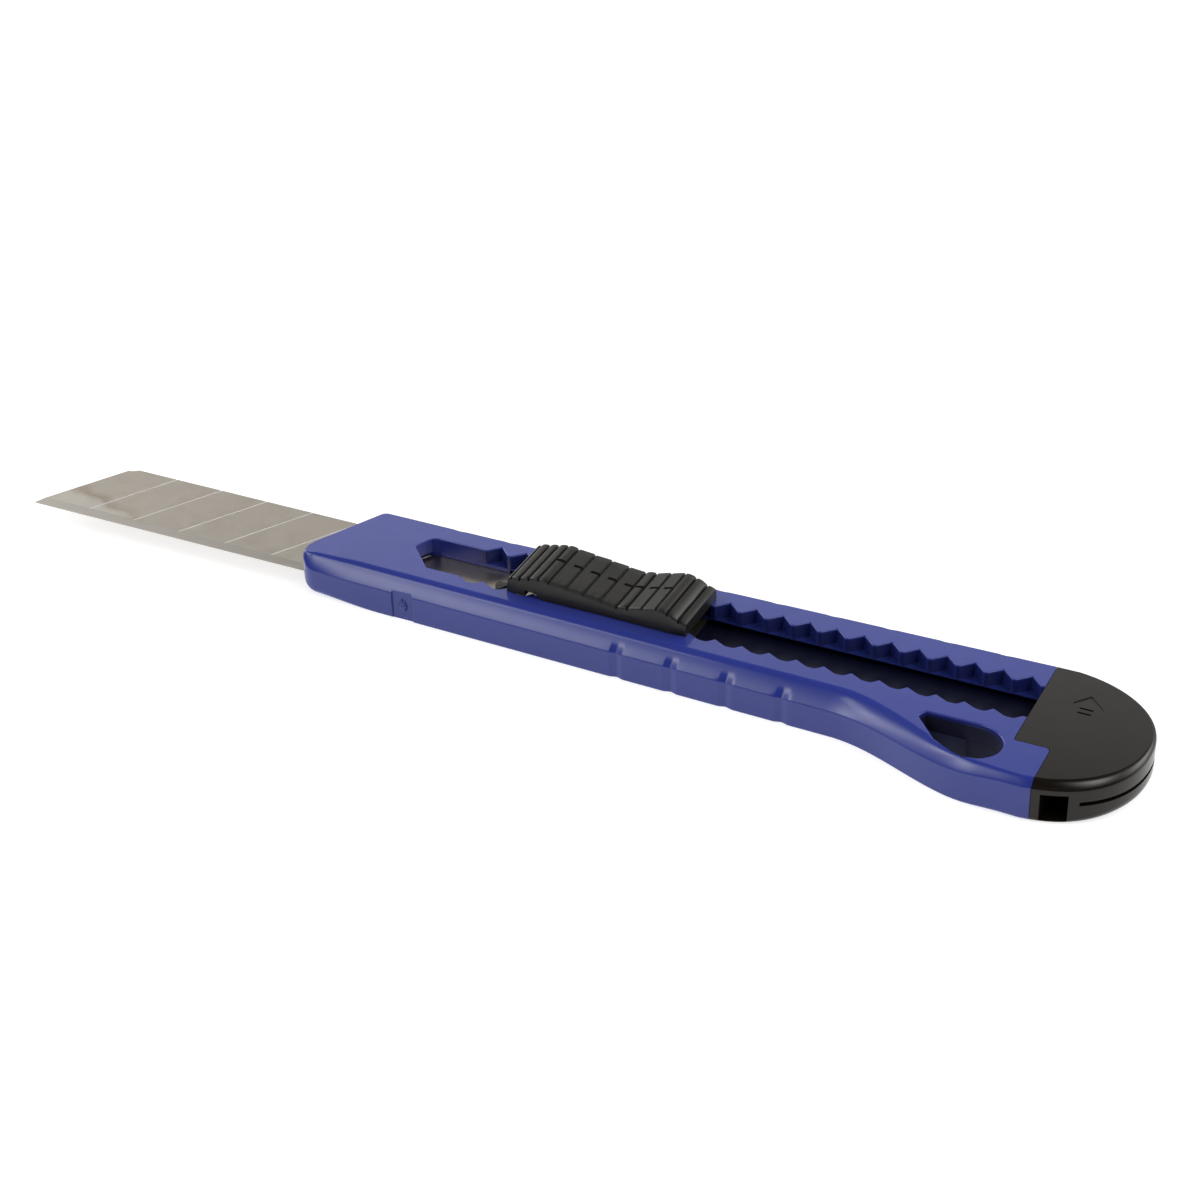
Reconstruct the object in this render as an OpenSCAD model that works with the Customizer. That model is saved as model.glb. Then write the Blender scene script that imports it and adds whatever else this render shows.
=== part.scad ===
// Snap-off knife: moulded handle, sliding scored blade, thumb slide with a notch lock,
// and a slide-off end cap with a snapping slit.
// Working axes, before in_row(): x from the blade's tip towards the end cap,
// y from the cutting edge towards the spine, z up from the handle's underside.

/* [Blade] */
// Width of the blade, from cutting edge to spine
blade_w = 18; // [17.6:0.1:18]
// Thickness of the blade
blade_t = 0.5; // [0.4:0.05:0.55]
// Length of the blade along its spine side
blade_len = 110; // [106:1:112]
// Distance from one score line to the next
segment_len = 10; // [8:0.5:11]
// Angle of the point and of the score lines
score_angle = 60; // [50:1:70]
// Width of the ground bevel along the cutting edge
bevel_w = 2; // [1:0.1:3]

/* [Handle] */
// Thickness of the handle and of the end cap
body_t = 7.8; // [7.6:0.1:9]
// Where the handle's nose starts, measured from the blade's tip
nose_x = 58.4; // [55:0.2:60]
// Where the handle's main rear face meets the end cap
rear_x = 194.3; // [194:0.1:196]
// Where the handle's finger lobe ends
lobe_x = 200.6; // [200:0.1:202]
// Height and width of the chamfer along the near top edge
chamfer = 2.2; // [1:0.1:2.4]

/* [Thumb slot] */
// Near edge of the slot
slot_y0 = 4.9; // [4.6:0.1:5.2]
// Far edge of the slot, at the tips of the ratchet teeth
slot_y1 = 14.3; // [14:0.1:14.6]
// Distance between lock notches
notch_pitch = 5; // [4:0.5:5]
// Number of lock notches on each side
notch_count = 21; // [10:1:21]
// Depth of the near notches
near_notch = 1.2; // [0.8:0.1:1.4]
// Depth of the far notches
far_notch = 2.1; // [1:0.05:2.3]

/* [Thumb slide] */
// Front of the thumb slide with the blade out as drawn
slide_x0 = 98.9; // [98.5:0.1:99.5]
// Length of the thumb slide
slide_len = 35.1; // [34:0.1:36]
// Width of the thumb slide
slide_w = 12.2; // [11:0.1:12.6]
// Height of the thumb slide's two humps above the underside
hump_z = 12; // [11:0.1:13]

/* [End cap] */
// Rearmost point of the end cap
cap_x = 215.6; // [212:0.1:218]
// Height of the slit that grips a segment
slit_h = 0.75; // [0.7:0.05:1.2]

/* [Hidden] */

eps = 0.01;
blue = "#4a52a0";
black = "#33312f";
dark_grey = "#454443";
steel = "#b5aea4";

// The row's origin is the middle of the whole knife, on its underside
origin_x = 107.8;
origin_y = 4.85;

// Heights of the layers inside the handle
blade_mid_z = 3.9;
blade_z0 = blade_mid_z - blade_t / 2;
blade_z1 = blade_mid_z + blade_t / 2;
blade_gap = 0.1;
track_z1 = 4.85;              // underside of the top plate, over the blade carrier
ledge_z = 5.05;               // floor of the lock notches
score_run = 1 / tan(score_angle);

// Outline of the handle's long sides
near_start = -1.4;            // side of the nose, before its corner is rounded
near_taper = 0.0235;          // how fast the near side leans outwards
far_start = 18.75;
far_taper = 0.023;
far_taper_x = 88;
nose_round = 12;              // length over which the nose pulls in
lobe_start = 163;             // start and end of the finger relief
lobe_end = 191;
lobe_drop = 7.5;
step_y = -2.2;                // the rear edge steps back here, beside the lobe
corner_y = 3.3;               // the nose's slanted front starts here
nose_lean = 0.4825;           // x gained for each y along the slanted front

// The rear end is half of a rounded oval
oval_x = 195.5;
oval_y = 4.85;
oval_far = 16.55;
oval_near = 17.25;
oval_power = 2.25;

// The tail that the end cap slides over, along y
tail_x = lobe_x - 0.3;
tail_lip = 1.7;
tail_z = [1.3, 6.5];
lip_z = [0.8, 7.0];
tail_y1 = 19.3;
cap_gap = 0.2;
face_gap = 0.1;

// Front window over the blade
window = [[76.9, 10.5], [78.3, 13.7], [79.25, 14.5], [92, slot_y1], [92, slot_y0], [82.2, slot_y0]];
relief = [[68, 6], [80, 6], [80, 13.8], [68, 13.8]];
track_x0 = 94;                // front end of the carrier's track
track_y = [1.2, 17];

// Dimple that the mould's gate leaves in the near side
gate_x = [78.3, 82.8];
gate_depth = 0.8;
gate_z1 = 6.4;

// Lanyard hole's shelf: its height, and where its edge starts and ends
shelf_z = 4.1;
shelf_x = [186.9, 181.2];

// Grip grooves across both sides
groove_first = 123.2;
groove_pitch = 10.35;
groove_size = 1.75;           // edge of the square bar that cuts each groove
groove_depth = 0.5;

// End cap: slit for snapping, and the pocket beside it
slit_x0 = 208;
pocket_x = [202.1, 206.4];
pocket_y1 = -6;
pocket_z = [0.4, 5.6];
arrow_depth = 0.2;

// Far and near notches: first valley and the run of the steep side
far_first = 91.45;              // bottom of the first notch on the far side
near_first = 91.8;
notch_steep = 1.9;

function smooth(t) = let (u = max(0, min(1, t))) u * u * (3 - 2 * u);

function near_side(x) =
    near_start - near_taper * (x - 60)
    + 0.8 * pow(max(0, (nose_x + nose_round + 1.6 - x) / nose_round), 2)
    - lobe_drop * smooth((x - lobe_start) / (lobe_end - lobe_start))
    + 0.004 * pow(max(0, x - 194), 2);

function far_side(x) = far_start + far_taper * max(0, x - far_taper_x);

function sign_pow(v, p) = sign(v) * pow(abs(v), p);

// Point on the rear oval, from -90 at the near side to 90 at the far side
function oval(angle, power) = [
    oval_x + (cap_x - oval_x) * pow(abs(cos(angle)), 2 / power),
    oval_y + (angle < 0 ? oval_near : oval_far) * sign_pow(sin(angle), 2 / power)
];

function rear_outline() = concat(
    [for (a = [-75 : 5 : 0]) oval(a, oval_power)],
    [for (a = [5 : 5 : 85]) oval(a, 2)]
);

far_nose_x = nose_x + (far_start - corner_y) * nose_lean;

handle_outline = concat(
    [[nose_x + 0.1, corner_y], [nose_x - 0.05, 1.9], [nose_x + 0.5, 0.3]],
    [for (x = [nose_x + 1.6 : 4 : lobe_start]) [x, near_side(x)]],
    [for (x = [lobe_start + 1 : 1.5 : lobe_x]) [x, near_side(x)]],
    [[lobe_x, near_side(lobe_x)], [lobe_x, step_y], [rear_x, step_y]],
    [[rear_x, far_side(rear_x)], [far_taper_x, far_start]],
    [[far_nose_x + 1, far_start], [far_nose_x, far_start - 0.4]]
);

cap_outline = concat(
    [[rear_x + face_gap, step_y + face_gap], [lobe_x + face_gap, step_y + face_gap]],
    [[lobe_x + face_gap, near_side(lobe_x)]],
    rear_outline(),
    [[rear_x + face_gap, far_side(rear_x)]]
);

module in_row() {
    translate([-origin_x, -origin_y, 0]) children();
}

module slab(z0, z1, points) {
    translate([0, 0, z0]) linear_extrude(z1 - z0) polygon(points);
}

module block(p0, p1) {
    translate(p0) cube(p1 - p0);
}

// Wedge swept along the near side, to cut the handle's top edge to a chamfer
module near_chamfer_cutter() {
    xs = concat([for (x = [nose_x - 4 : 4 : lobe_start]) x], [for (x = [lobe_start + 1 : 2 : lobe_x + 3]) x]);
    step = 0.1;
    rings = [for (x = xs)
        let (
            from = max(x, nose_x + 1.6),
            slope = (near_side(from + step) - near_side(from - step)) / (2 * step),
            run = sqrt(1 + slope * slope),
            side = [x, near_side(from), 0],
            inward = [-slope / run, 1 / run, 0],
            up = [0, 0, 1]
        )
        [
            side - inward + up * (body_t - chamfer - 1),
            side + inward * (chamfer + 1) + up * (body_t + 1),
            side - inward * 2 + up * (body_t + 1)
        ]
    ];
    n = len(rings);
    polyhedron(
        points = [for (ring = rings) for (p = ring) p],
        faces = concat(
            [[0, 1, 2], [3 * n - 1, 3 * n - 2, 3 * n - 3]],
            [for (i = [0 : n - 2]) for (k = [0 : 2])
                [3 * i + (k + 1) % 3, 3 * i + k, 3 * i + 3 + (k + 1) % 3]],
            [for (i = [0 : n - 2]) for (k = [0 : 2])
                [3 * i + 3 + (k + 1) % 3, 3 * i + k, 3 * i + 3 + k]]
        )
    );
}

// Straight slot with a row of ratchet notches along each side
module slot_outline(with_notches) {
    x1 = lobe_x + 1;
    polygon([[82.2, slot_y0], [x1, slot_y0], [x1, slot_y1], [82.2, slot_y1]]);
    if (with_notches) {
        for (k = [0 : notch_count - 1]) {
            far_x = far_first + k * notch_pitch;
            near_x = near_first + k * notch_pitch;
            gentle = notch_pitch - notch_steep;
            half = notch_pitch / 2;
            polygon([
                [far_x - half, slot_y1 - 1], [far_x + half, slot_y1 - 1], [far_x + half - 0.4, slot_y1],
                [far_x + 0.15, slot_y1 + far_notch], [far_x - 0.15, slot_y1 + far_notch],
                [far_x - half + 0.4, slot_y1]
            ]);
            polygon([
                [near_x - gentle, slot_y0 + 1], [near_x - gentle, slot_y0],
                [near_x - 0.7, slot_y0 - near_notch], [near_x + 0.5, slot_y0 - near_notch],
                [near_x + notch_steep, slot_y0], [near_x + notch_steep, slot_y0 + 1]
            ]);
        }
    }
}

module side_grooves() {
    depth = groove_size / sqrt(2) - groove_depth;
    bar = [-groove_size / 2, -groove_size / 2, 0];
    for (k = [0 : 3]) {
        x = groove_first + k * groove_pitch;
        translate([x, near_side(x) - depth, -1]) rotate(45) translate(bar)
            cube([groove_size, groove_size, body_t + 2]);
    }
    for (k = [-4 : 6]) {
        x = groove_first + k * groove_pitch;
        translate([x, far_side(x) + depth, -1]) rotate(45) translate(bar)
            cube([groove_size, groove_size, body_t + 2]);
    }
}

module teardrop() {
    polygon(concat(
        [[178.1, -2], [178.9, -0.4]],
        [for (a = [90 : -15 : -60]) [188 + 5.4 * cos(a), -5.2 + 4.8 * sin(a)]],
        [[188.2, -9.9], [186.2, -9.2], [182.6, -7.2]]
    ));
}

// Hole for a lanyard: a teardrop with a shelf at its narrow end
module lanyard_hole() {
    translate([0, 0, shelf_z]) linear_extrude(body_t) teardrop();
    translate([0, 0, -1]) linear_extrude(body_t) difference() {
        teardrop();
        polygon([[170, 1], [shelf_x[0], 1], [shelf_x[1], -11], [170, -11]]);
    }
}

module tail() {
    block([rear_x - 1, step_y - 1, tail_z[0]], [tail_x, tail_y1, tail_z[1]]);
    block([tail_x - tail_lip, step_y - 1, lip_z[0]], [tail_x, tail_y1, lip_z[1]]);
}

module handle_body() {
    color(blue) in_row() difference() {
        union() {
            difference() {
                slab(0, body_t, handle_outline);
                near_chamfer_cutter();
                side_grooves();
                lanyard_hole();
                block([gate_x[0], near_side(gate_x[0]) - 1, -1], [gate_x[1], near_side(gate_x[0]) + gate_depth, gate_z1]);
            }
            tail();
        }
        // Passage for the blade, the track of the blade carrier and the relief at the nose
        block([nose_x - 3, -blade_gap, blade_z0 - blade_gap],
              [lobe_x + 1, blade_w + blade_gap, blade_z1 + blade_gap]);
        block([track_x0, track_y[0], blade_z1], [lobe_x + 1, track_y[1], track_z1]);
        slab(blade_z1, ledge_z, relief);
        // Window, slot and notches through the top plate
        slab(blade_z1, body_t + 1, window);
        translate([0, 0, blade_z1]) linear_extrude(body_t) slot_outline(false);
        translate([0, 0, ledge_z]) linear_extrude(body_t) slot_outline(true);
    }
}

module arrow() {
    translate([0, 0, body_t - arrow_depth]) linear_extrude(1)
        polygon([[202.6, 15], [199.8, 12], [201.4, 12], [201.4, 7.6], [203.8, 7.6], [203.8, 12], [205.4, 12]]);
}

module end_cap() {
    lip_x = tail_x - tail_lip - cap_gap;
    color(black) in_row() difference() {
        slab(0, body_t, cap_outline);
        // Undercut groove that runs along y over the handle's tail
        block([rear_x - 1, step_y - 1, tail_z[0] - cap_gap], [tail_x + cap_gap, tail_y1 + cap_gap, tail_z[1] + cap_gap]);
        block([lip_x, step_y - 1, lip_z[0] - cap_gap], [tail_x + cap_gap, tail_y1 + cap_gap, lip_z[1] + cap_gap]);
        // Slit that a blade segment is pushed into and snapped off
        block([slit_x0, -20, blade_mid_z - slit_h / 2], [cap_x + 2, 30, blade_mid_z + slit_h / 2]);
        block([pocket_x[0], -15, pocket_z[0]], [pocket_x[1], pocket_y1, pocket_z[1]]);
        arrow();
    }
}

// Side view of the thumb slide: ribs, a valley of plates, and ribs again
rib_pitch = 1.8;
plate_pitch = 3.3;
rise_pitch = 2.6;
fall_pitch = 2.2;
groove_w = 0.6;
groove_d = 0.7;
cuts = concat(
    [for (k = [1 : 4]) slide_x0 + 1 + (k - 1) * rib_pitch],
    [for (k = [1 : 5]) slide_x0 + 6.4 + k * plate_pitch - 1.3],
    [for (k = [1 : 3]) slide_x0 + 21.6 + k * rise_pitch],
    [for (k = [1 : 2]) slide_x0 + 29.2 + k * fall_pitch - 0.3]
);

function slide_top(x) =
    let (u = x - slide_x0)
    u < 6.4 ? hump_z - 1.6 * pow((6.4 - u) / 6.4, 1.6)
    : u < 21.6 ? hump_z - 1.9 * smooth((u - 6.4) / 15.2)
    : u < 29.2 ? hump_z - 1.9 * (1 - smooth((u - 21.6) / 7.6))
    : hump_z - 2.4 * pow((u - 29.2) / (slide_len - 29.2), 1.3);

stem_x = [slide_x0 + 10, slide_x0 + 32];
stem_y = [slot_y0 + 2.1, slot_y1 - 0.3];
post_x = [slide_x0 + 13, slide_x0 + 28];
post_y = 10.8;
post_r = 1.5;

module thumb_slide() {
    base_z = body_t + 0.12;
    y0 = slot_y0 - 1.15;
    color(dark_grey) in_row() {
        difference() {
            translate([0, y0 + slide_w, 0]) rotate([90, 0, 0]) linear_extrude(slide_w)
                polygon(concat(
                    [[slide_x0 + slide_len, base_z], [slide_x0 + 0.5, base_z]],
                    [for (u = [0 : 1.3 : slide_len]) [slide_x0 + u, slide_top(slide_x0 + u)]],
                    [[slide_x0 + slide_len, slide_top(slide_x0 + slide_len)]]
                ));
            for (x = cuts)
                block([x - groove_w / 2, y0 - 1, slide_top(x) - groove_d], [x + groove_w / 2, y0 + slide_w + 1, hump_z + 1]);
            // Low gap under the near skirt, which opens onto the slot
            translate([0, slot_y0 + 3, 0]) rotate([90, 0, 0]) linear_extrude(5)
                polygon([
                    [slide_x0 + 3.8, base_z - 1], [slide_x0 + 3.8, base_z + 1.2],
                    [slide_x0 + 5.2, base_z + 1], [slide_x0 + 7.2, base_z - 1]
                ]);
        }
        // Stem through the slot, with two posts for the carrier
        block([stem_x[0], stem_y[0], track_z1 - 0.05], [stem_x[1], stem_y[1], base_z + eps]);
        for (x = post_x)
            translate([x, post_y, blade_z1 + 0.2]) cylinder(h = track_z1 - blade_z1, r = post_r, $fn = 48);
    }
}

stud_x = blade_len - 4;
stud_y = blade_w / 2;
stud_r = 1.7;
blade_hole_r = 1.8;
carrier_x = [slide_x0 + 3.3, slide_x0 + slide_len - 1];
carrier_y = [1.5, 16.7];

module blade_carrier() {
    plate_z0 = blade_z1 + 0.05;
    plate_z1 = track_z1 - 0.1;
    color(black) in_row() {
        difference() {
            block([carrier_x[0], carrier_y[0], plate_z0], [carrier_x[1], carrier_y[1], plate_z1]);
            for (x = post_x)
                translate([x, post_y, plate_z0 - 1]) cylinder(h = 3, r = post_r, $fn = 48);
        }
        // Stud that holds the blade by its hole
        translate([stud_x, stud_y, blade_z0]) cylinder(h = 1, r = stud_r, $fn = 48);
    }
}

// Springy strip beside the stem: a low arm with a lock nose near each end
nose_z = [ledge_z + 0.1, body_t - 0.2];
arm_z1 = nose_z[0] + 0.55;
arm_y = [slot_y0 + 0.3, slot_y0 + 1.5];
nose_reach = 1.2;
lock_noses = [near_first + notch_pitch, near_first + 8 * notch_pitch];

module lock_spring() {
    color(dark_grey) in_row() {
        block([lock_noses[0] - 0.9, arm_y[0], nose_z[0]], [lock_noses[1] + 0.9, arm_y[1], arm_z1]);
        for (x = lock_noses)
            slab(nose_z[0], nose_z[1], [
                [x - 0.9, arm_y[1]], [x - 0.9, arm_y[0]], [x - 0.3, arm_y[0] - nose_reach],
                [x + 0.4, arm_y[0] - nose_reach], [x + 0.9, arm_y[0]], [x + 1.7, arm_y[1]]
            ]);
        // Root, held against the stem
        block([slide_x0 + 14, arm_y[1] - eps, nose_z[0]], [slide_x0 + 18, stem_y[0], arm_z1]);
    }
}

module blade() {
    slant = blade_w * score_run;
    bevel_edge = 0.03;
    color(steel) in_row() difference() {
        intersection() {
            translate([-20, 0, 0]) rotate([90, 0, 90]) linear_extrude(blade_len + 40)
                polygon([
                    [0, blade_mid_z - bevel_edge], [bevel_w, blade_z0], [blade_w, blade_z0],
                    [blade_w, blade_z1], [bevel_w, blade_z1], [0, blade_mid_z + bevel_edge]
                ]);
            slab(0, body_t, [
                [0, 0], [blade_len - slant / 2, 0], [blade_len, stud_y],
                [blade_len, blade_w - 3], [blade_len - 3, blade_w],
                [slant + 1.4, blade_w], [slant + 0.1, blade_w - 0.9], [slant - 0.5, blade_w - 0.9]
            ]);
        }
        // Score lines, on the top side only
        for (k = [1 : 7])
            translate([k * segment_len + bevel_w * score_run, bevel_w, blade_z1 - 0.12]) rotate(score_angle)
                translate([0, -0.12, 0]) cube([blade_w / sin(score_angle), 0.24, 1]);
        translate([stud_x, stud_y, -1]) cylinder(h = body_t, r = blade_hole_r, $fn = 48);
    }
}

handle_body();
end_cap();
thumb_slide();
blade_carrier();
lock_spring();
blade();
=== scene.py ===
"""The looks of a snap-off knife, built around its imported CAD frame.

Shapes are worked out in millimetres: x from the blade's tip towards the end cap, y from the
cutting edge towards the spine, z from the handle's underside. row() turns them into the frame's
metres.
"""

from math import cos, degrees, pi, radians, sin, tan

import bmesh
import bpy
import numpy as np
from mathutils import Matrix, Vector


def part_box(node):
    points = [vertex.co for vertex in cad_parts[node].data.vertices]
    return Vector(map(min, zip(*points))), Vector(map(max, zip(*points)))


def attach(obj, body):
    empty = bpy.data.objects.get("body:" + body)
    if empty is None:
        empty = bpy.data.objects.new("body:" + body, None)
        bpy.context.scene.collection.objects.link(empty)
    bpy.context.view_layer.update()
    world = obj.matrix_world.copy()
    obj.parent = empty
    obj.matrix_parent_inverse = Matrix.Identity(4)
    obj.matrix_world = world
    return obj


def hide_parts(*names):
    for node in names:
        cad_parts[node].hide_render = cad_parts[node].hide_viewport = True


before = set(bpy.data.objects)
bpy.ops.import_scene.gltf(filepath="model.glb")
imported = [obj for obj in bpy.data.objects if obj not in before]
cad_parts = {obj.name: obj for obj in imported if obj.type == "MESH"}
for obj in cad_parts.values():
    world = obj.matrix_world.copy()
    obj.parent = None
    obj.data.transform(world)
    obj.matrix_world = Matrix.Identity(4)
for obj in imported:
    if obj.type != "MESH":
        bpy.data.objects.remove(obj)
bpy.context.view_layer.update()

MM = 0.001
blade_low, blade_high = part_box("blade")
handle_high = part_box("handle_body")[1]
slide_low, slide_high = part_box("thumb_slide")
TIP = np.array([blade_low.x, blade_low.y, 0.0])

BODY_T = round(handle_high.z / MM, 3)
BLADE_W = 18.0
BLADE_Z = (blade_low.z / MM, blade_high.z / MM)
BLADE_GAP = 0.1
LEDGE_Z = 5.05

# Room for the blade carrier, and the relief under the front of the window
TRACK_X0 = 94
TRACK_Y = (1.2, 17)
TRACK_Z1 = 4.85
RELIEF = ((68, 6), (80, 13.8))

# Handle
NOSE_X = 58.4
NOSE_CORNER_Y = 3.3
NOSE_LEAN = 0.4825
NEAR_START = -1.4
NEAR_TAPER = 0.0235
NEAR_TAPER_X = 60
NOSE_ROUND = 12
NOSE_PULL = 0.45
HEEL_PULL = 0.004
HEEL_PULL_X = 194
LOBE_START = 163
LOBE_END = 191
LOBE_DROP = 7.5
FAR_START = 18.75
FAR_TAPER = 0.023
FAR_TAPER_X = 88
REAR_X = 194.3
LOBE_X = 200.6
STEP_Y = -2.2
PARTING_GAP = 0.1

# Tail that the end cap slides over, with a lip along its end
TAIL_X = LOBE_X - 0.3
TAIL_Y = 19.3
TAIL_Z = (1.3, 6.5)
LIP_X = TAIL_X - 1.7
LIP_Z = (0.8, 7.0)
CAP_GAP = 0.2

# Thumb slot
SLOT_Y = (4.9, 14.3)
NOTCH_PITCH = 5.0
NOTCH_COUNT = 21
NEAR_NOTCH = 1.2
FAR_NOTCH = 2.15
NEAR_FIRST = 91.8
FAR_FIRST = 91.45
NOTCH_STEEP = 1.9
NOTCH_GENTLE = NOTCH_PITCH - NOTCH_STEEP

# Grip grooves
GROOVE_FIRST = 123.2
GROOVE_PITCH = 10.35
GROOVE_HALF = 1.35
GROOVE_FLOOR = 0.25
GROOVE_BANK = 1.15
GROOVE_DEPTH = 0.36

# Rear oval
OVAL_X = 195.5
OVAL_Y = 4.85
CAP_X = 215.6
OVAL_NEAR = 17.25
OVAL_FAR = 16.55
OVAL_NEAR_POWER = 2.25
OVAL_FAR_POWER = 2.0


def row(points):
    """Millimetres of the working axes as metres of the frame."""
    return np.asarray(points, float) * MM + TIP


# ---------------------------------------------------------------- mesh helpers


def smooth(t):
    u = np.clip(t, 0.0, 1.0)
    return u * u * (3 - 2 * u)


def curve(start, middle, end, t):
    """Point of a quadratic Bezier curve."""
    return (1 - t) ** 2 * start + 2 * t * (1 - t) * middle + t * t * end


def new_piece(name, points, faces):
    mesh = bpy.data.meshes.new(name)
    mesh.from_pydata([tuple(p) for p in row(points)], [], faces)
    mesh.validate()
    piece = bpy.data.objects.new(name, mesh)
    bpy.context.scene.collection.objects.link(piece)
    return piece


def stack(name, rings):
    """Closed body through equally long rings from the bottom up, each a counterclockwise loop."""
    n = len(rings[0])
    points = np.concatenate([np.asarray(ring, float) for ring in rings])
    faces = [tuple(reversed(range(n)))]
    for j in range(len(rings) - 1):
        low = j * n
        high = low + n
        faces += [(low + i, low + (i + 1) % n, high + (i + 1) % n, high + i) for i in range(n)]
    faces.append(tuple(range((len(rings) - 1) * n, len(rings) * n)))
    return new_piece(name, points, faces)


def at_height(loop, z):
    return np.column_stack([loop, np.full(len(loop), z)])


def outward(loop):
    """Unit normals of a counterclockwise loop, averaged over the edges beside each point."""
    edges = np.roll(loop, -1, axis=0) - loop
    edges /= np.linalg.norm(edges, axis=1)[:, None]
    normals = np.column_stack([edges[:, 1], -edges[:, 0]])
    both = normals + np.roll(normals, 1, axis=0)
    return both / np.linalg.norm(both, axis=1)[:, None], normals


def grown(corners, distance):
    """The corners with each edge moved outwards. A corner may carry a fillet radius, (x, y, r),
    which grows where the outline turns out and shrinks where it turns in."""
    flat = np.array([c[:2] for c in corners], float)
    mean, edge = outward(flat)
    stretch = np.clip(np.einsum("ij,ij->i", mean, edge), 0.3, 1.0)
    moved = flat + mean * (distance / stretch)[:, None]
    before = flat - np.roll(flat, 1, axis=0)
    after = np.roll(flat, -1, axis=0) - flat
    turns = before[:, 0] * after[:, 1] - before[:, 1] * after[:, 0]
    out = []
    for point, corner, turn in zip(moved, corners, turns):
        if len(corner) > 2 and corner[2] > 0:
            out.append((*point, max(corner[2] + distance * np.sign(turn), 0.03)))
        else:
            out.append((*point, 0))
    return out


def filleted(corners, steps=4):
    """The polygon with each (x, y, r) corner rounded to its radius."""
    out = []
    count = len(corners)
    for i, corner in enumerate(corners):
        here = np.array(corner[:2], float)
        r = corner[2] if len(corner) > 2 else 0
        before = np.array(corners[i - 1][:2], float) - here
        after = np.array(corners[(i + 1) % count][:2], float) - here
        a = before / np.linalg.norm(before)
        b = after / np.linalg.norm(after)
        half = np.arccos(np.clip(a @ b, -1, 1)) / 2
        if r <= 0:
            out.append(here)
            continue
        reach = min(r / tan(half), 0.45 * np.linalg.norm(before), 0.45 * np.linalg.norm(after))
        start = here + a * reach
        end = here + b * reach
        for t in np.linspace(0, 1, steps + 1):
            out.append(curve(start, here, end, t))
    return np.array(out)


def prism(corners, z0, z1, lip=0.0, lip_below=0.0, steps=3, arc=4):
    """Upright prism. A lip flares its top or bottom, so that what it cuts gets a rounded edge."""

    def ring(distance, z):
        return at_height(filleted(grown(corners, distance) if distance else corners, arc), z)

    rings = []
    if lip_below:
        rings.append(ring(lip_below, z0 - 1))
        for a in np.linspace(0, pi / 2, steps + 1):
            rings.append(ring(lip_below * (1 - sin(a)), z0 + lip_below * (1 - cos(a))))
    else:
        rings.append(ring(0, z0))
    if lip:
        for a in np.linspace(0, pi / 2, steps + 1):
            rings.append(ring(lip * (1 - cos(a)), z1 - lip * (1 - sin(a))))
        rings.append(ring(lip, z1 + 1))
    else:
        rings.append(ring(0, z1))
    return stack("cutter", rings)


def block(low, high):
    (x0, y0, z0), (x1, y1, z1) = low, high
    return prism([(x0, y0), (x1, y0), (x1, y1), (x0, y1)], z0, z1)


def dimple(corners, y, depth, lip):
    """Cutter for a shallow recess in the near side, from an x, z outline."""
    piece = prism(corners, 0, depth, lip_below=lip)
    for v in piece.data.vertices:
        x, z, t = (np.array(v.co) - TIP) / MM
        v.co = row([x, y + t, z])
    flip(piece)
    return piece


def sideways_prism(corners, y0, y1):
    """Prism of an x, z outline that runs along y."""
    return dimple(corners, y0, y1 - y0, 0)


def flip(piece):
    """Faces turned to look outwards."""
    work = bmesh.new()
    work.from_mesh(piece.data)
    bmesh.ops.recalc_face_normals(work, faces=work.faces)
    work.to_mesh(piece.data)
    work.free()


def volume(mesh):
    work = bmesh.new()
    work.from_mesh(mesh)
    cubic = work.calc_volume(signed=True)
    work.free()
    return cubic


def combine(piece, other, operation):
    """Exact boolean of two closed bodies. The second one is used up."""
    modifier = piece.modifiers.new("cut", "BOOLEAN")
    modifier.operation = operation
    modifier.solver = "EXACT"
    modifier.object = other
    bpy.context.view_layer.update()
    evaluated = piece.evaluated_get(bpy.context.evaluated_depsgraph_get())
    mesh = bpy.data.meshes.new_from_object(evaluated)
    before, tool, after = volume(piece.data), volume(other.data), volume(mesh)
    kept = {
        "UNION": after >= before,
        "DIFFERENCE": 0 < after < before,
        "INTERSECT": 0 < after <= before,
    }
    if tool <= 0 or not kept[operation]:
        raise RuntimeError(
            f"{piece.name}: {operation} went from {before} to {after} with a tool of {tool}"
        )
    old = piece.data
    piece.modifiers.clear()
    piece.data = mesh
    bpy.data.meshes.remove(old)
    bpy.data.objects.remove(other)


def cut(piece, *cutters):
    for cutter in cutters:
        combine(piece, cutter, "DIFFERENCE")


def shaded(piece, material, sharp_angle=38):
    """Smooth shading with sharp edges kept, and normals that follow the large flat faces."""
    work = bmesh.new()
    work.from_mesh(piece.data)
    bmesh.ops.remove_doubles(work, verts=work.verts, dist=0.002 * MM)
    bmesh.ops.dissolve_degenerate(work, edges=work.edges, dist=0.001 * MM)
    loose = sum(len(edge.link_faces) != 2 for edge in work.edges)
    if loose:
        raise RuntimeError(f"{piece.name} has {loose} edges that don't join two faces")
    for face in work.faces:
        face.smooth = True
    for edge in work.edges:
        edge.smooth = len(edge.link_faces) == 2 and degrees(edge.calc_face_angle(0)) < sharp_angle
    work.to_mesh(piece.data)
    work.free()
    piece.data.materials.clear()
    piece.data.materials.append(material)
    weighted = piece.modifiers.new("normals", "WEIGHTED_NORMAL")
    weighted.keep_sharp = True
    weighted.weight = 80


# ------------------------------------------------------------------- materials


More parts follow.
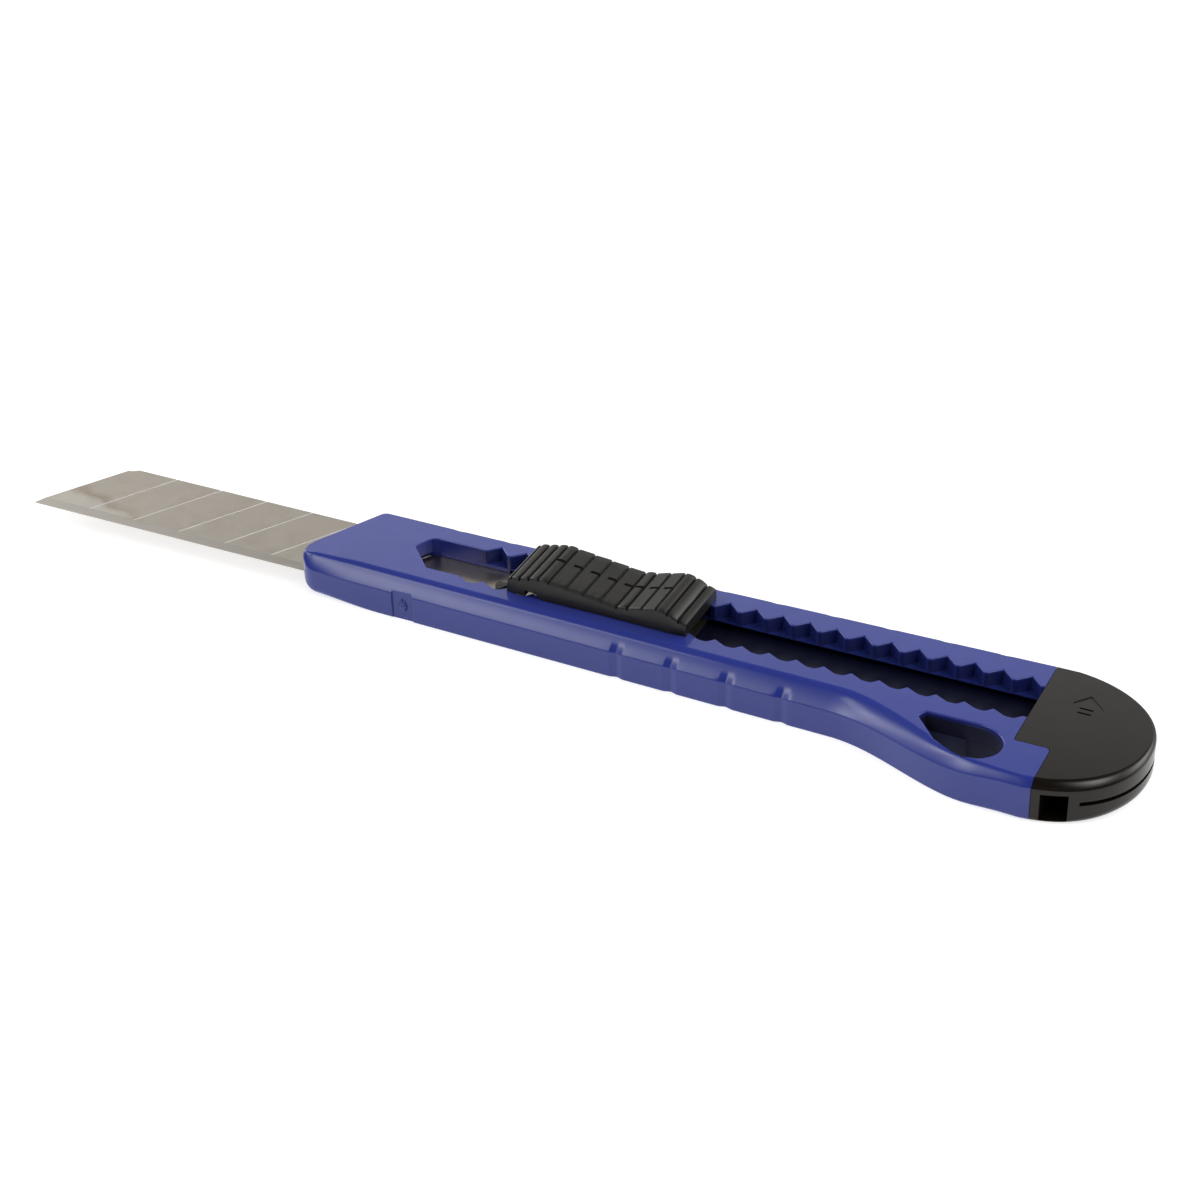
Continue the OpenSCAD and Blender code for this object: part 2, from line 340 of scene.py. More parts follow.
class Nodes:
    """Small helper for a material's node tree."""

    def __init__(self, name):
        self.material = bpy.data.materials.new(name)
        self.material.use_nodes = True
        self.tree = self.material.node_tree
        self.shader = self.tree.nodes["Principled BSDF"]
        self.place = self.add("ShaderNodeTexCoord").outputs["Object"]

    def add(self, kind, **values):
        node = self.tree.nodes.new(kind)
        for key, value in values.items():
            if hasattr(node, key):
                setattr(node, key, value)
            else:
                node.inputs[key.replace("_", " ")].default_value = value
        return node

    def link(self, source, target):
        self.tree.links.new(source, target)

    def noise(self, scale, detail=3.0, stretch=(1, 1, 1)):
        mapping = self.add("ShaderNodeMapping")
        mapping.inputs["Scale"].default_value = stretch
        self.link(self.place, mapping.inputs["Vector"])
        noise = self.add("ShaderNodeTexNoise", Scale=scale, Detail=detail)
        self.link(mapping.outputs["Vector"], noise.inputs["Vector"])
        return noise.outputs["Fac"]

    def ranged(self, source, low, high, start=0.3, end=0.7):
        """low to high as the source goes from start to end, which suit a noise by default."""
        node = self.add(
            "ShaderNodeMapRange", From_Min=start, From_Max=end, To_Min=low, To_Max=high
        )
        self.link(source, node.inputs["Value"])
        return node.outputs["Result"]

    def mixed(self, factor, first, second):
        node = self.add("ShaderNodeMix", data_type="RGBA")
        self.link(factor, node.inputs["Factor"])
        for socket, value in ((node.inputs[6], first), (node.inputs[7], second)):
            if isinstance(value, bpy.types.NodeSocket):
                self.link(value, socket)
            else:
                socket.default_value = (*value, 1.0)
        return node.outputs[2]

    def math(self, operation, first, second=None, third=None):
        """One math step on sockets or plain numbers."""
        node = self.add("ShaderNodeMath", operation=operation)
        for socket, value in zip(node.inputs, (first, second, third)):
            if isinstance(value, bpy.types.NodeSocket):
                self.link(value, socket)
            elif value is not None:
                socket.default_value = value
        return node.outputs["Value"]

    def axes(self):
        """x, y, z in millimetres of the working axes."""
        split = self.add("ShaderNodeSeparateXYZ")
        self.link(self.place, split.inputs["Vector"])
        return [self.math("MULTIPLY_ADD", split.outputs[k], 1 / MM, -TIP[k] / MM) for k in range(3)]

    def below(self, value, edge, blur=0.05):
        """1 where value is under edge, and 0 above it."""
        return self.ranged(value, 1.0, 0.0, edge - blur, edge + blur)

    def above(self, value, edge, blur=0.05):
        return self.ranged(value, 0.0, 1.0, edge - blur, edge + blur)

    def all_of(self, *masks):
        result = masks[0]
        for mask in masks[1:]:
            result = self.math("MULTIPLY", result, mask)
        return result

    def bump(self, *layers):
        """Bump from (height, strength, depth in metres) layers, one over the other."""
        normal = None
        for height, strength, depth in layers:
            node = self.add("ShaderNodeBump", Strength=strength, Distance=depth)
            self.link(height, node.inputs["Height"])
            if normal is not None:
                self.link(normal, node.inputs["Normal"])
            normal = node.outputs["Normal"]
        self.link(normal, self.shader.inputs["Normal"])


def plastic(name, colour, shade, gloss, grain, specular=0.5, painted_shade=None):
    """Moulded plastic: a faint cloudy colour, uneven gloss, fine grain and slow ripples.
    The last argument gives (mask, share of the colour, least roughness) of places with painted
    shade, where the colour is darkened and the surface made duller."""
    n = Nodes(name)
    n.shader.inputs["Specular IOR Level"].default_value = specular
    base = n.mixed(n.ranged(n.noise(70.0), 0.0, 1.0), colour, shade)
    rough = n.ranged(n.noise(300.0, 5.0), gloss[0], gloss[1])
    if painted_shade:
        # Painted shade: each mask mixes in a darker share of the second colour and raises the
        # roughness to at least the given value.
        for mask, darker, duller in painted_shade(n):
            base = n.mixed(mask, base, tuple(darker * c for c in shade))
            rough = n.math("MAXIMUM", rough, n.math("MULTIPLY", mask, duller))
    n.link(base, n.shader.inputs["Base Color"])
    n.link(rough, n.shader.inputs["Roughness"])
    n.bump((n.noise(130.0, 1.0), 0.12, 0.00005), (n.noise(3000.0, 2.0), grain, 0.00001))
    return n.material


def handle_painted_shade(n):
    """Painted shade in the blade channel behind the window, on the lanyard hole's walls and on the
    slot's notch walls: masks that darken the colour there."""
    x, y, z = n.axes()
    channel = n.all_of(
        n.above(x, 100, 0.5), n.above(y, -0.05), n.below(y, 18.3), n.above(z, 3.3), n.below(z, 4.8)
    )
    # The hole's box, less the corner on the near side of its slanted edge
    slanted = n.math("MULTIPLY_ADD", n.math("SUBTRACT", x, 178.0), 0.73, y)
    hole = n.all_of(
        n.above(slanted, -3.2), n.above(y, -10.2), n.below(y, -0.2), n.above(x, 177.6),
        n.below(x, 193.8), n.above(z, 0.3), n.below(z, 7.1, 0.3),
    )
    notches = n.all_of(
        n.above(x, 88, 1.0), n.above(y, 1.0), n.below(y, 18), n.above(z, 4.95),
        n.below(z, 7.45, 0.2),
    )
    return [(channel, 0.06, 0.40), (hole, 0.12, 0.80), (notches, 0.60, 0.0)]


def slide_painted_shade(n):
    """Painted shade on the slide's two side walls, which are made darker than its top."""
    y = n.axes()[1]
    return [(n.below(y, 4.1, 0.4), 0.55, 0.0), (n.above(y, 15.9, 0.3), 0.55, 0.0)]


BLUE = plastic(
    "blue_plastic", (0.0270, 0.0410, 0.250), (0.0235, 0.0365, 0.228), (0.10, 0.16), 0.06,
    painted_shade=handle_painted_shade,
)
CAP_BLACK = plastic(
    "cap_plastic", (0.0095, 0.0075, 0.0055), (0.0080, 0.0062, 0.0045), (0.11, 0.17), 0.08, 0.33
)
SLIDE_BLACK = plastic(
    "slide_plastic", (0.0160, 0.0150, 0.0130), (0.0125, 0.0117, 0.0103), (0.30, 0.42), 0.25, 0.40,
    painted_shade=slide_painted_shade,
)


def steel():
    """Ground blade steel: fine grain, faint mottling, score lines with a painted highlight, a paler
    bevel and a tarnished tip."""
    n = Nodes("blade_steel")
    x, y, z = n.axes()
    fine = n.ranged(n.noise(2600.0, 4.0), 0.0, 1.0, 0.2, 0.8)
    body = n.mixed(fine, (0.430, 0.390, 0.335), (0.462, 0.420, 0.362))
    patches = n.ranged(n.noise(150.0, 8.0), 0.0, 0.35, 0.50, 0.68)
    mottled = n.all_of(patches, n.ranged(n.noise(1500.0, 3.0), 0.2, 1.0))
    body = n.mixed(mottled, body, (0.37, 0.335, 0.285))
    body = n.mixed(n.below(y, 2.0, 0.25), body, (0.560, 0.530, 0.475))
    # Cleaner steel at the point, up to a brown wavy tide mark
    wave = n.ranged(n.noise(220.0, 3.0), -0.9, 0.9)
    tide = n.math("ADD", n.math("MULTIPLY_ADD", x, 0.33, n.math("ADD", y, wave)), -9.0)
    near_tide = n.math("ABSOLUTE", n.math("ADD", tide, -0.6))
    cleaner = n.all_of(n.below(tide, 0.2, 0.5), n.above(y, 2.0, 0.4))
    body = n.mixed(cleaner, body, (0.52, 0.485, 0.430))
    smudge = n.all_of(n.below(near_tide, 1.1, 1.0), n.above(y, 1.6, 0.5), n.below(x, 19.0, 8.0))
    body = n.mixed(n.math("MULTIPLY", smudge, 0.55), body, (0.300, 0.232, 0.165))
    # Score lines, every ten millimetres on the slant, on the top side only: a painted highlight, a
    # pale non-metallic colour standing in for the light their walls catch
    along = n.math("SUBTRACT", x, n.math("MULTIPLY", y, 1 / tan(radians(60))))
    in_segment = n.math("MODULO", n.math("ADD", along, 5.0), 10.0)
    from_line = n.math("ABSOLUTE", n.math("SUBTRACT", in_segment, 5.0))
    line = n.all_of(
        n.below(from_line, 0.15, 0.03), n.above(y, 2.0), n.above(along, 5.0), n.below(along, 75.0),
        n.above(z, BLADE_Z[1] - 0.2),
    )
    n.link(n.mixed(line, body, (0.80, 0.78, 0.76)), n.shader.inputs["Base Color"])
    n.link(n.ranged(line, 1.0, 0.0), n.shader.inputs["Metallic"])
    n.link(n.ranged(n.noise(600.0, 2.0), 0.31, 0.37), n.shader.inputs["Roughness"])
    n.bump((n.noise(1400.0, 2.0, (0.3, 5, 1)), 0.06, 0.000004))
    return n.material


STEEL = steel()

# ------------------------------------------------------ outer shell of the knife

# The near shoulder: the height it drops, how far in it starts, how much it bows out, and the
# radii of its foot and its crest. The other edges only have a radius.
SHOULDER_DROP = 2.55
SHOULDER_RUN = 3.74
BOW = radians(7)
SIDE_R = 0.5
CREST_R = 3.4
EDGE_R = 0.5
BOTTOM_R = 0.4
JAW_R = 1.6
FRONT_R = 3.2
CAP_BOTTOM_R = 0.9
STATION_STEP = 1.5
SIDE_STEPS = 4
SHOULDER_STEPS = 7
CREST_STEPS = 6
BOTTOM_STEPS = 6


def near_side(x):
    return (
        NEAR_START
        - NEAR_TAPER * (x - NEAR_TAPER_X)
        + NOSE_PULL * max(0.0, (NEAR_TAPER_X + NOSE_ROUND - x) / NOSE_ROUND) ** 2
        - LOBE_DROP * smooth((x - LOBE_START) / (LOBE_END - LOBE_START))
        + HEEL_PULL * max(0.0, x - HEEL_PULL_X) ** 2
    )


def far_side(x):
    return FAR_START + FAR_TAPER * max(0.0, x - FAR_TAPER_X)


def rear_oval(angle):
    """Point of the rear end, from -90 at the near side to 90 at the far side."""
    a = radians(angle)
    near = angle < 0
    power = OVAL_NEAR_POWER if near else OVAL_FAR_POWER
    reach = OVAL_NEAR if near else OVAL_FAR
    return (
        OVAL_X + (CAP_X - OVAL_X) * abs(cos(a)) ** (2 / power),
        OVAL_Y + reach * np.sign(sin(a)) * abs(sin(a)) ** (2 / power),
    )


def groove_depth(x, first, last):
    """Depth of the nearest grip groove, for grooves number first to last."""
    k = min(max(round((x - GROOVE_FIRST) / GROOVE_PITCH), first), last)
    away = abs(x - GROOVE_FIRST - k * GROOVE_PITCH)
    share = np.interp(away, [0, GROOVE_FLOOR, GROOVE_BANK, GROOVE_HALF], [1.0, 0.88, 0.12, 0.0])
    return GROOVE_DEPTH * float(share)


def stations(x0, x1, first, last):
    """Places along a side: evenly spaced, with the grooves' own points in between."""
    centres = [GROOVE_FIRST + k * GROOVE_PITCH for k in range(first, last + 1)]
    clear = GROOVE_HALF + 0.4
    places = np.arange(x0, x1, STATION_STEP)
    even = [x for x in places if min(abs(x - c) for c in centres) > clear]
    half = [GROOVE_FLOOR, GROOVE_BANK, GROOVE_HALF]
    own = [c + d for c in centres for d in [0, *half, *(-d for d in half)]]
    return sorted(even + own)


def shell_loop():
    """Points round the knife: (x, y, groove depth, shoulder, underside radius)."""
    out = []
    corner_end = 61.8
    p0 = np.array([NOSE_X + 0.1, NOSE_CORNER_Y])
    p1 = np.array([NOSE_X - 0.25, -0.55])
    p2 = np.array([corner_end, near_side(corner_end)])
    for t in np.linspace(0, 1, 13)[:-1]:
        x, y = curve(p0, p1, p2, t)
        shoulder = 0.15 + 0.85 * smooth((t - 0.35) / 0.6)
        out.append((x, y, 0.0, shoulder, FRONT_R + (JAW_R - FRONT_R) * smooth(t)))
    for x in stations(corner_end, 196.5, 0, 3):
        jaw = 1 - smooth((x - corner_end) / 14.0)
        heel = smooth((x - 186) / 10)
        bottom = BOTTOM_R + (JAW_R - BOTTOM_R) * jaw + (CAP_BOTTOM_R - BOTTOM_R) * heel
        out.append((x, near_side(x), groove_depth(x, 0, 3), 1.0, bottom))
    for angle in range(-82, 86, 4):
        heel = CAP_BOTTOM_R + 1.3 * smooth((angle + 70) / 50)
        bottom = BOTTOM_R + (heel - BOTTOM_R) * (1 - smooth((angle - 30) / 50))
        out.append((*rear_oval(angle), 0.0, 1 - smooth((angle + 62) / 95), bottom))
    far_nose_x = NOSE_X + (FAR_START - NOSE_CORNER_Y) * NOSE_LEAN
    for x in reversed(stations(far_nose_x + 1.2, 196.0, -4, 6)):
        out.append((x, far_side(x), groove_depth(x, -4, 6), 0.0, BOTTOM_R))
    lean = np.array([NOSE_LEAN, 1.0])
    q0 = np.array([far_nose_x + 1.2, FAR_START])
    q1 = np.array([far_nose_x, FAR_START])
    q2 = q1 - lean * 1.0
    for t in np.linspace(0.15, 1, 6):
        x, y = curve(q0, q1, q2, t)
        out.append((x, y, 0.0, 0.0, BOTTOM_R + (FRONT_R - BOTTOM_R) * t))
    for t in np.linspace(0, 1, 10)[1:-1]:
        x, y = q2 + (p0 - q2) * t
        out.append((x, y, 0.0, 0.0, FRONT_R))
    return np.array(out)


def shoulder_profile(run, drop, side_r):
    """(inset, drop, normal's elevation) from the side wall up to the top face."""
    slope = np.arctan2(drop, run)
    top, foot = slope - BOW, slope + BOW
    out = []
    turn = pi / 2 - foot
    reach = side_r * tan(turn / 2)
    for a in np.linspace(0, turn, SIDE_STEPS):
        out.append((side_r * (1 - cos(a)), drop + reach - side_r * sin(a), a))
    # A shallow arc from the end of the side's rounding up to the crest's
    start = np.array(out[-1][:2])
    crest_r = CREST_R * run / SHOULDER_RUN
    end = np.array([run + crest_r * (tan(top / 2) - sin(top)), crest_r * (1 - cos(top))])
    chord = end - start
    outside = np.array([chord[1], -chord[0]]) / np.hypot(*chord)
    for t in np.linspace(0, 1, SHOULDER_STEPS)[1:-1]:
        bow = np.hypot(*chord) * BOW * t * (1 - t)
        out.append((*(start + chord * t + outside * bow), pi / 2 - (foot + (top - foot) * t)))
    for a in np.linspace(top, 0, CREST_STEPS):
        out.append((run + crest_r * (tan(top / 2) - sin(a)), crest_r * (1 - cos(a)), pi / 2 - a))
    return np.array(out)


def edge_profile(radius):
    angles = np.linspace(0, pi / 2, SIDE_STEPS + SHOULDER_STEPS - 2 + CREST_STEPS)
    return np.column_stack([radius * (1 - np.cos(angles)), radius * (1 - np.sin(angles)), angles])


def outer_shell(name):
    """Handle and end cap as one body, before they part."""
    data = shell_loop()
    loop = data[:, :2]
    groove, shoulder, bottom = data[:, 2], data[:, 3], data[:, 4]
    inward = -outward(loop)[0]
    x = loop[:, 0]
    # The shoulder widens from the nose to the lobe, and narrows again round the lobe and the cap
    scale = np.interp(x, [60, 70, 100, 140, 165], [0.42, 0.70, 0.76, 0.84, 0.92])
    bends = [165, 178, 187, 196, 204, 212]
    run = SHOULDER_RUN * scale * np.interp(x, bends, [1.0, 0.75, 0.50, 0.34, 0.34, 0.42])
    drop = SHOULDER_DROP * np.interp(x, bends, [1.0, 0.95, 0.80, 0.52, 0.52, 0.55])
    side_r = np.interp(x, [185, 205], [SIDE_R, 1.2])
    wide = np.array([shoulder_profile(*sizes) for sizes in zip(run, drop, side_r)])
    narrow = edge_profile(EDGE_R)[None]
    profile = narrow + (wide - narrow) * shoulder[:, None, None]

    def ring(inset, height):
        return np.column_stack([loop + inward * inset[:, None], height])

    rings = []
    for a in np.linspace(0, pi / 2, BOTTOM_STEPS + 1):
        rings.append(ring(bottom * (1 - sin(a)) + groove, bottom * (1 - cos(a))))
    count = profile.shape[1]
    for j in range(count):
        inset, fall, tilt = profile[:, j, 0], profile[:, j, 1], profile[:, j, 2]
        # A groove runs out towards the crest of the shoulder, and cuts through a narrow edge
        cut_in = groove * (1 - smooth((j - SIDE_STEPS + 1) / 4) * shoulder)
        height = BODY_T - fall - cut_in * np.sin(tilt) * shoulder
        rings.append(ring(inset + cut_in * np.cos(tilt), height))
    return stack(name, rings)


def parting_loop(gap):
    """The end cap's side of the parting line, seen from above."""
    return [
        (REAR_X + gap, STEP_Y + gap, 0.7),
        (LOBE_X + gap, STEP_Y + gap, 1.0),
        (LOBE_X + gap, -40),
        (CAP_X + 20, -40),
        (CAP_X + 20, 60),
        (REAR_X + gap, 60),
    ]


# ---------------------------------------------------------------------- handle

WINDOW = [(76.9, 10.5, 0.6), (82.2, SLOT_Y[0], 0.5)]
WINDOW_FAR = [(79.6, SLOT_Y[1], 0.5), (78.3, 13.7, 0.5)]
SLOT_END = LOBE_X + 1
TEARDROP = (
    [(178.75, -0.45, 0.5), (178.0, -2.0, 0.45), (182.6, -7.2), (186.2, -9.2), (188.2, -9.9)]
    + [(188 + 5.4 * cos(radians(a)), -5.2 + 4.8 * sin(radians(a))) for a in range(-60, 91, 10)]
)
SHELF_Z = 4.1
SHELF_X = (186.9, 181.2)
GATE = [(78.5, -2), (82.6, -2), (82.6, 6.1, 0.9), (78.5, 6.1, 0.9)]
GATE_X = 80.5
GATE_DEPTH = 0.42


def notched_slot():
    """The window and the slot with both rows of notches, as one loop."""
    near = []
    far = []
    for k in range(NOTCH_COUNT):
        x = NEAR_FIRST + k * NOTCH_PITCH
        near += [
            (x - NOTCH_GENTLE, SLOT_Y[0], 0.5),
            (x - 0.9, SLOT_Y[0] - NEAR_NOTCH, 1.0),
            (x + 0.6, SLOT_Y[0] - NEAR_NOTCH, 0.8),
            (x + NOTCH_STEEP - 0.25, SLOT_Y[0], 0.5),
        ]
        x = FAR_FIRST + k * NOTCH_PITCH
        far += [
            (x - NOTCH_PITCH / 2 + 0.35, SLOT_Y[1], 0.45),
            (x, SLOT_Y[1] + FAR_NOTCH, 0.2),
            (x + NOTCH_PITCH / 2 - 0.35, SLOT_Y[1], 0.45),
        ]
    end = [(SLOT_END, SLOT_Y[0]), (SLOT_END, SLOT_Y[1])]
    return WINDOW + near + end + far[::-1] + WINDOW_FAR


def straight_slot():
    end = [(SLOT_END, SLOT_Y[0]), (SLOT_END, SLOT_Y[1])]
    return grown(WINDOW + end + WINDOW_FAR, -0.03)


def handle():
    piece = outer_shell("handle_moulding")
    cut(piece, prism(parting_loop(0), -5, BODY_T + 5))
    tail = block((REAR_X - 1, STEP_Y - 1, TAIL_Z[0]), (TAIL_X, TAIL_Y, TAIL_Z[1]))
    lip = block((LIP_X, STEP_Y - 0.95, LIP_Z[0]), (TAIL_X + 0.01, TAIL_Y - 0.05, LIP_Z[1]))
    combine(piece, tail, "UNION")
    combine(piece, lip, "UNION")
    # Cutters that meet differ by a few hundredths, so that no two of their walls coincide
    cut(
        piece,
        prism(notched_slot(), LEDGE_Z, BODY_T, lip=0.22),
        prism(straight_slot(), BLADE_Z[1], LEDGE_Z + 0.5),
        prism(TEARDROP, SHELF_Z, BODY_T, lip=0.3),
        through_hole(),
        dimple(GATE, near_side(GATE_X), GATE_DEPTH, 0.35),
        block((TRACK_X0, TRACK_Y[0], BLADE_Z[1] - 0.05), (LOBE_X + 1.02, TRACK_Y[1], TRACK_Z1)),
        block((*RELIEF[0], BLADE_Z[1] - 0.05), (*RELIEF[1], LEDGE_Z - 0.02)),
        block(
            (NOSE_X - 3, -BLADE_GAP, BLADE_Z[0] - BLADE_GAP),
            (LOBE_X + 1.04, BLADE_W + BLADE_GAP, BLADE_Z[1] + BLADE_GAP),
        ),
    )
    return piece


def through_hole():
    """Cutter for the part of the lanyard hole beside the shelf, all the way down."""
    piece = prism(grown(TEARDROP, -0.03), 0, SHELF_Z + 0.5, lip_below=0.2)
    wide = [(SHELF_X[0], 1), (SHELF_X[1], -11), (200, -11), (200, 1)]
    combine(piece, prism(wide, -3, SHELF_Z + 0.6), "INTERSECT")
    return piece


def gate_mark():
    """Small rough lump of plastic in the gate dimple."""
    middle = np.array([80.6, near_side(GATE_X) + GATE_DEPTH + 0.02, 2.9])
    work = bmesh.new()
    bmesh.ops.create_icosphere(work, subdivisions=4, radius=1.0)
    for v in work.verts:
        x, y, z = v.co
        rough = 1 + 0.16 * sin(9 * x + 4 * z) * cos(7 * z) + 0.1 * sin(17 * z + 5 * y)
        v.co = row(middle + np.array([0.8 * x, 0.5 * y, 1.2 * z]) * rough)
    mesh = bpy.data.meshes.new("gate_mark")
    work.to_mesh(mesh)
    work.free()
    piece = bpy.data.objects.new("gate_mark", mesh)
    bpy.context.scene.collection.objects.link(piece)
    return piece


# --------------------------------------------------------------------- end cap

CAP_SLIT_X = 208
CAP_SLIT_T = 0.75
POCKET = ((202.1, -15, 0.4), (206.4, -4.5, 5.6))
ARROW_HEAD = [
    (202.2, 14.7), (199.9, 11.9), (200.5, 11.6), (202.2, 13.8), (204.9, 11.2), (205.5, 11.6)
]
ARROW_BARS = [10.6, 9.3]
ARROW_DEPTH = 0.16
BAR_X = (201.4, 203.7)
BAR_W = 0.42


def end_cap():
    piece = outer_shell("end_cap_moulding")
    combine(piece, prism(parting_loop(PARTING_GAP), -5, BODY_T + 5), "INTERSECT")
    mid_z = sum(BLADE_Z) / 2
    cut(
        piece,
        block(
            (REAR_X - 1, STEP_Y - 1, TAIL_Z[0] - CAP_GAP),
            (TAIL_X + CAP_GAP, TAIL_Y + CAP_GAP, TAIL_Z[1] + CAP_GAP),
        ),
        block(
            (LIP_X - CAP_GAP, STEP_Y - 0.9, LIP_Z[0] - CAP_GAP),
            (TAIL_X + CAP_GAP + 0.01, TAIL_Y + CAP_GAP + 0.02, LIP_Z[1] + CAP_GAP),
        ),
        block(
            (CAP_SLIT_X, -20, mid_z - CAP_SLIT_T / 2), (CAP_X + 2, 30, mid_z + CAP_SLIT_T / 2)
        ),
        block(*POCKET),
        prism(ARROW_HEAD, BODY_T - ARROW_DEPTH, BODY_T, lip=0.1),
        *[
            block((BAR_X[0], y, BODY_T - 0.2), (BAR_X[1], y + BAR_W, BODY_T + 1))
            for y in ARROW_BARS
        ],
    )
    return piece


# ----------------------------------------------------------------- thumb slide

SLIDE_X0 = slide_low.x / MM - TIP[0] / MM
SLIDE_X1 = slide_high.x / MM - TIP[0] / MM
SLIDE_BASE = BODY_T + 0.12
SLIDE_FAR = 16.2
STEM_X = (108.9, 130.9)
STEM_Y = (7.0, 14.0)
RIBS = [99.8, 101.6, 103.4, 105.3]
PLATES = [107.3, 110.6, 113.9, 117.2, 120.4]
RISING = [122.5, 125.3, 128.0]
FALLING = [130.1, 132.2]
GROOVES = RIBS + PLATES + RISING + FALLING
GROOVE_W = 0.42
GROOVE_D = 0.50
SLIT_Y = 10.6
SLIT_W = 0.5
SLIT_LEN = 1.7
SLIT_DEPTH = 0.42
EDGE_DROP = 0.52


def slide_crest(x):
    """Height of the thumb slide's top, before its grooves."""
    front = [(SLIDE_X0, 9.2), (99.15, 10.2), (99.8, 10.75), (103.6, 11.6), (105.3, 12.0)]
    dip = [(107.3, 11.89), (113.9, 11.08), (120.4, 10.19), (122.5, 10.6), (125.3, 11.32)]
    back = [(128.0, 11.97), (130.1, 11.6), (132.2, 10.6), (SLIDE_X1, 9.85)]
    return float(np.interp(x, *zip(*front, *dip, *back)))


def slide_relief(x):
    """Grooves below the crest, and the round top of each rib or plate above it."""
    edges = [SLIDE_X0 - 0.4] + GROOVES + [SLIDE_X1 + 0.2]
    k = int(np.searchsorted(edges, x)) - 1
    k = min(max(k, 0), len(edges) - 2)
    t = (x - edges[k]) / (edges[k + 1] - edges[k])
    rib = edges[k + 1] - edges[k] < 2.3
    bulge = 0.26 * (1 - (2 * t - 1) ** 2) if rib else 0.16 * t - 0.02
    away = min(abs(x - c) for c in GROOVES)
    depth = GROOVE_D * (1 - smooth((away - GROOVE_W / 2 + 0.12) / 0.16))
    return bulge - depth


def slit_depth(x, y):
    """Short lengthwise slits, just ahead of each plate's groove."""
    if abs(y - SLIT_Y) > SLIT_W / 2 + 0.01:
        return 0.0
    ahead = min((c - x for c in PLATES + RISING if c - x > 0), default=99)
    return SLIT_DEPTH if ahead < SLIT_LEN else 0.0


def slide_near(x):
    """Near side of the skirt, waisted in the middle."""
    along = [SLIDE_X0, 101, 106, 111, 118, 131, SLIDE_X1]
    return float(np.interp(x, along, [3.75, 3.42, 3.40, 3.46, 3.40, 3.10, 3.35]))


def slide_section(x):
    """(y, z) points across the thumb slide, from the near skirt over the top to the far skirt."""
    crest = slide_crest(x)
    near = slide_near(x)
    far = SLIDE_FAR + 0.25 * smooth((x - 110) / 20)
    wall_top = crest - EDGE_DROP
    top = crest + slide_relief(x)
    side = [(0.0, 0.0), (0.0, 0.34), (0.05, 0.67), (0.10, 1.0)]
    rounding = [(0.13, 0.40), (0.22, 0.72), (0.36, 0.93), (0.6, 1.0)]
    out = [(near + d, SLIDE_BASE + (wall_top - SLIDE_BASE) * t) for d, t in side]
    out += [(near + d, wall_top + (top - wall_top) * t) for d, t in rounding]
    slit = [SLIT_Y + d for d in (-0.36, -0.25, 0.25, 0.36)]
    rows = [near + 2.6, 8.4, *slit, 12.6, far - 2.0]
    out += [(y, top - slit_depth(x, y)) for y in rows]
    out += [(far - d, wall_top + (top - wall_top) * t) for d, t in reversed(rounding)]
    out += [(far - d, SLIDE_BASE + (wall_top - SLIDE_BASE) * t) for d, t in reversed(side)]
    return out


def slide_stations():
    xs = set(np.round(np.arange(SLIDE_X0, SLIDE_X1, 0.3), 3)) | {round(SLIDE_X1, 3)}
    for c in GROOVES:
        xs = {x for x in xs if abs(x - c) > GROOVE_W / 2 + 0.2}
        xs |= {round(c + d, 3) for d in (-0.4, -0.32, -0.24, -0.16, 0, 0.16, 0.24, 0.32, 0.4)}
    for c in PLATES + RISING:
        xs |= {round(c - SLIT_LEN - 0.02, 3), round(c - SLIT_LEN + 0.02, 3)}
    return sorted(x for x in xs if SLIDE_X0 <= x <= SLIDE_X1)


def thumb_slide():
    rings = [[(x, y, z) for y, z in slide_section(x)] for x in slide_stations()]
    piece = stack("thumb_slide_moulding", rings)
    flip(piece)
    below = SLIDE_BASE - 1
    gap = [(102.7, below), (107.0, below), (105.2, 8.75), (104.2, 8.98), (102.7, 9.1)]
    cut(piece, sideways_prism(gap, 2.5, 7.9))
    stem = block(
        (STEM_X[0], STEM_Y[0], TRACK_Z1 - 0.05), (STEM_X[1], STEM_Y[1], SLIDE_BASE + 0.3)
    )
    combine(piece, stem, "UNION")
    return piece


# -------------------------------------------------------------------- assembly


def finish_piece(piece, body, slot, material, *nodes):
    shaded(piece, material)
    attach(piece, body)
    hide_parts(*nodes)


def dress_node(node, material, bevel):
    """A CAD node that stays: its own mesh, with a material and softened edges."""
    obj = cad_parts[node]
    obj.data.materials.clear()
    obj.data.materials.append(material)
    if bevel:
        modifier = obj.modifiers.new("soft_edges", "BEVEL")
        modifier.width = bevel * MM
        modifier.segments = 2
        modifier.limit_method = "ANGLE"
        modifier.angle_limit = radians(40)


moulding = handle()
combine(moulding, gate_mark(), "UNION")
finish_piece(moulding, "handle", "blue_plastic", BLUE, "handle_body")
finish_piece(end_cap(), "cap", "cap_plastic", CAP_BLACK, "end_cap")
finish_piece(thumb_slide(), "slide", "slide_plastic", SLIDE_BLACK, "thumb_slide")
dress_node("blade", STEEL, 0)
dress_node("blade_carrier", SLIDE_BLACK, 0)
dress_node("lock_spring", SLIDE_BLACK, 0.08)

# ------------------------------------------------------ floor, light and camera


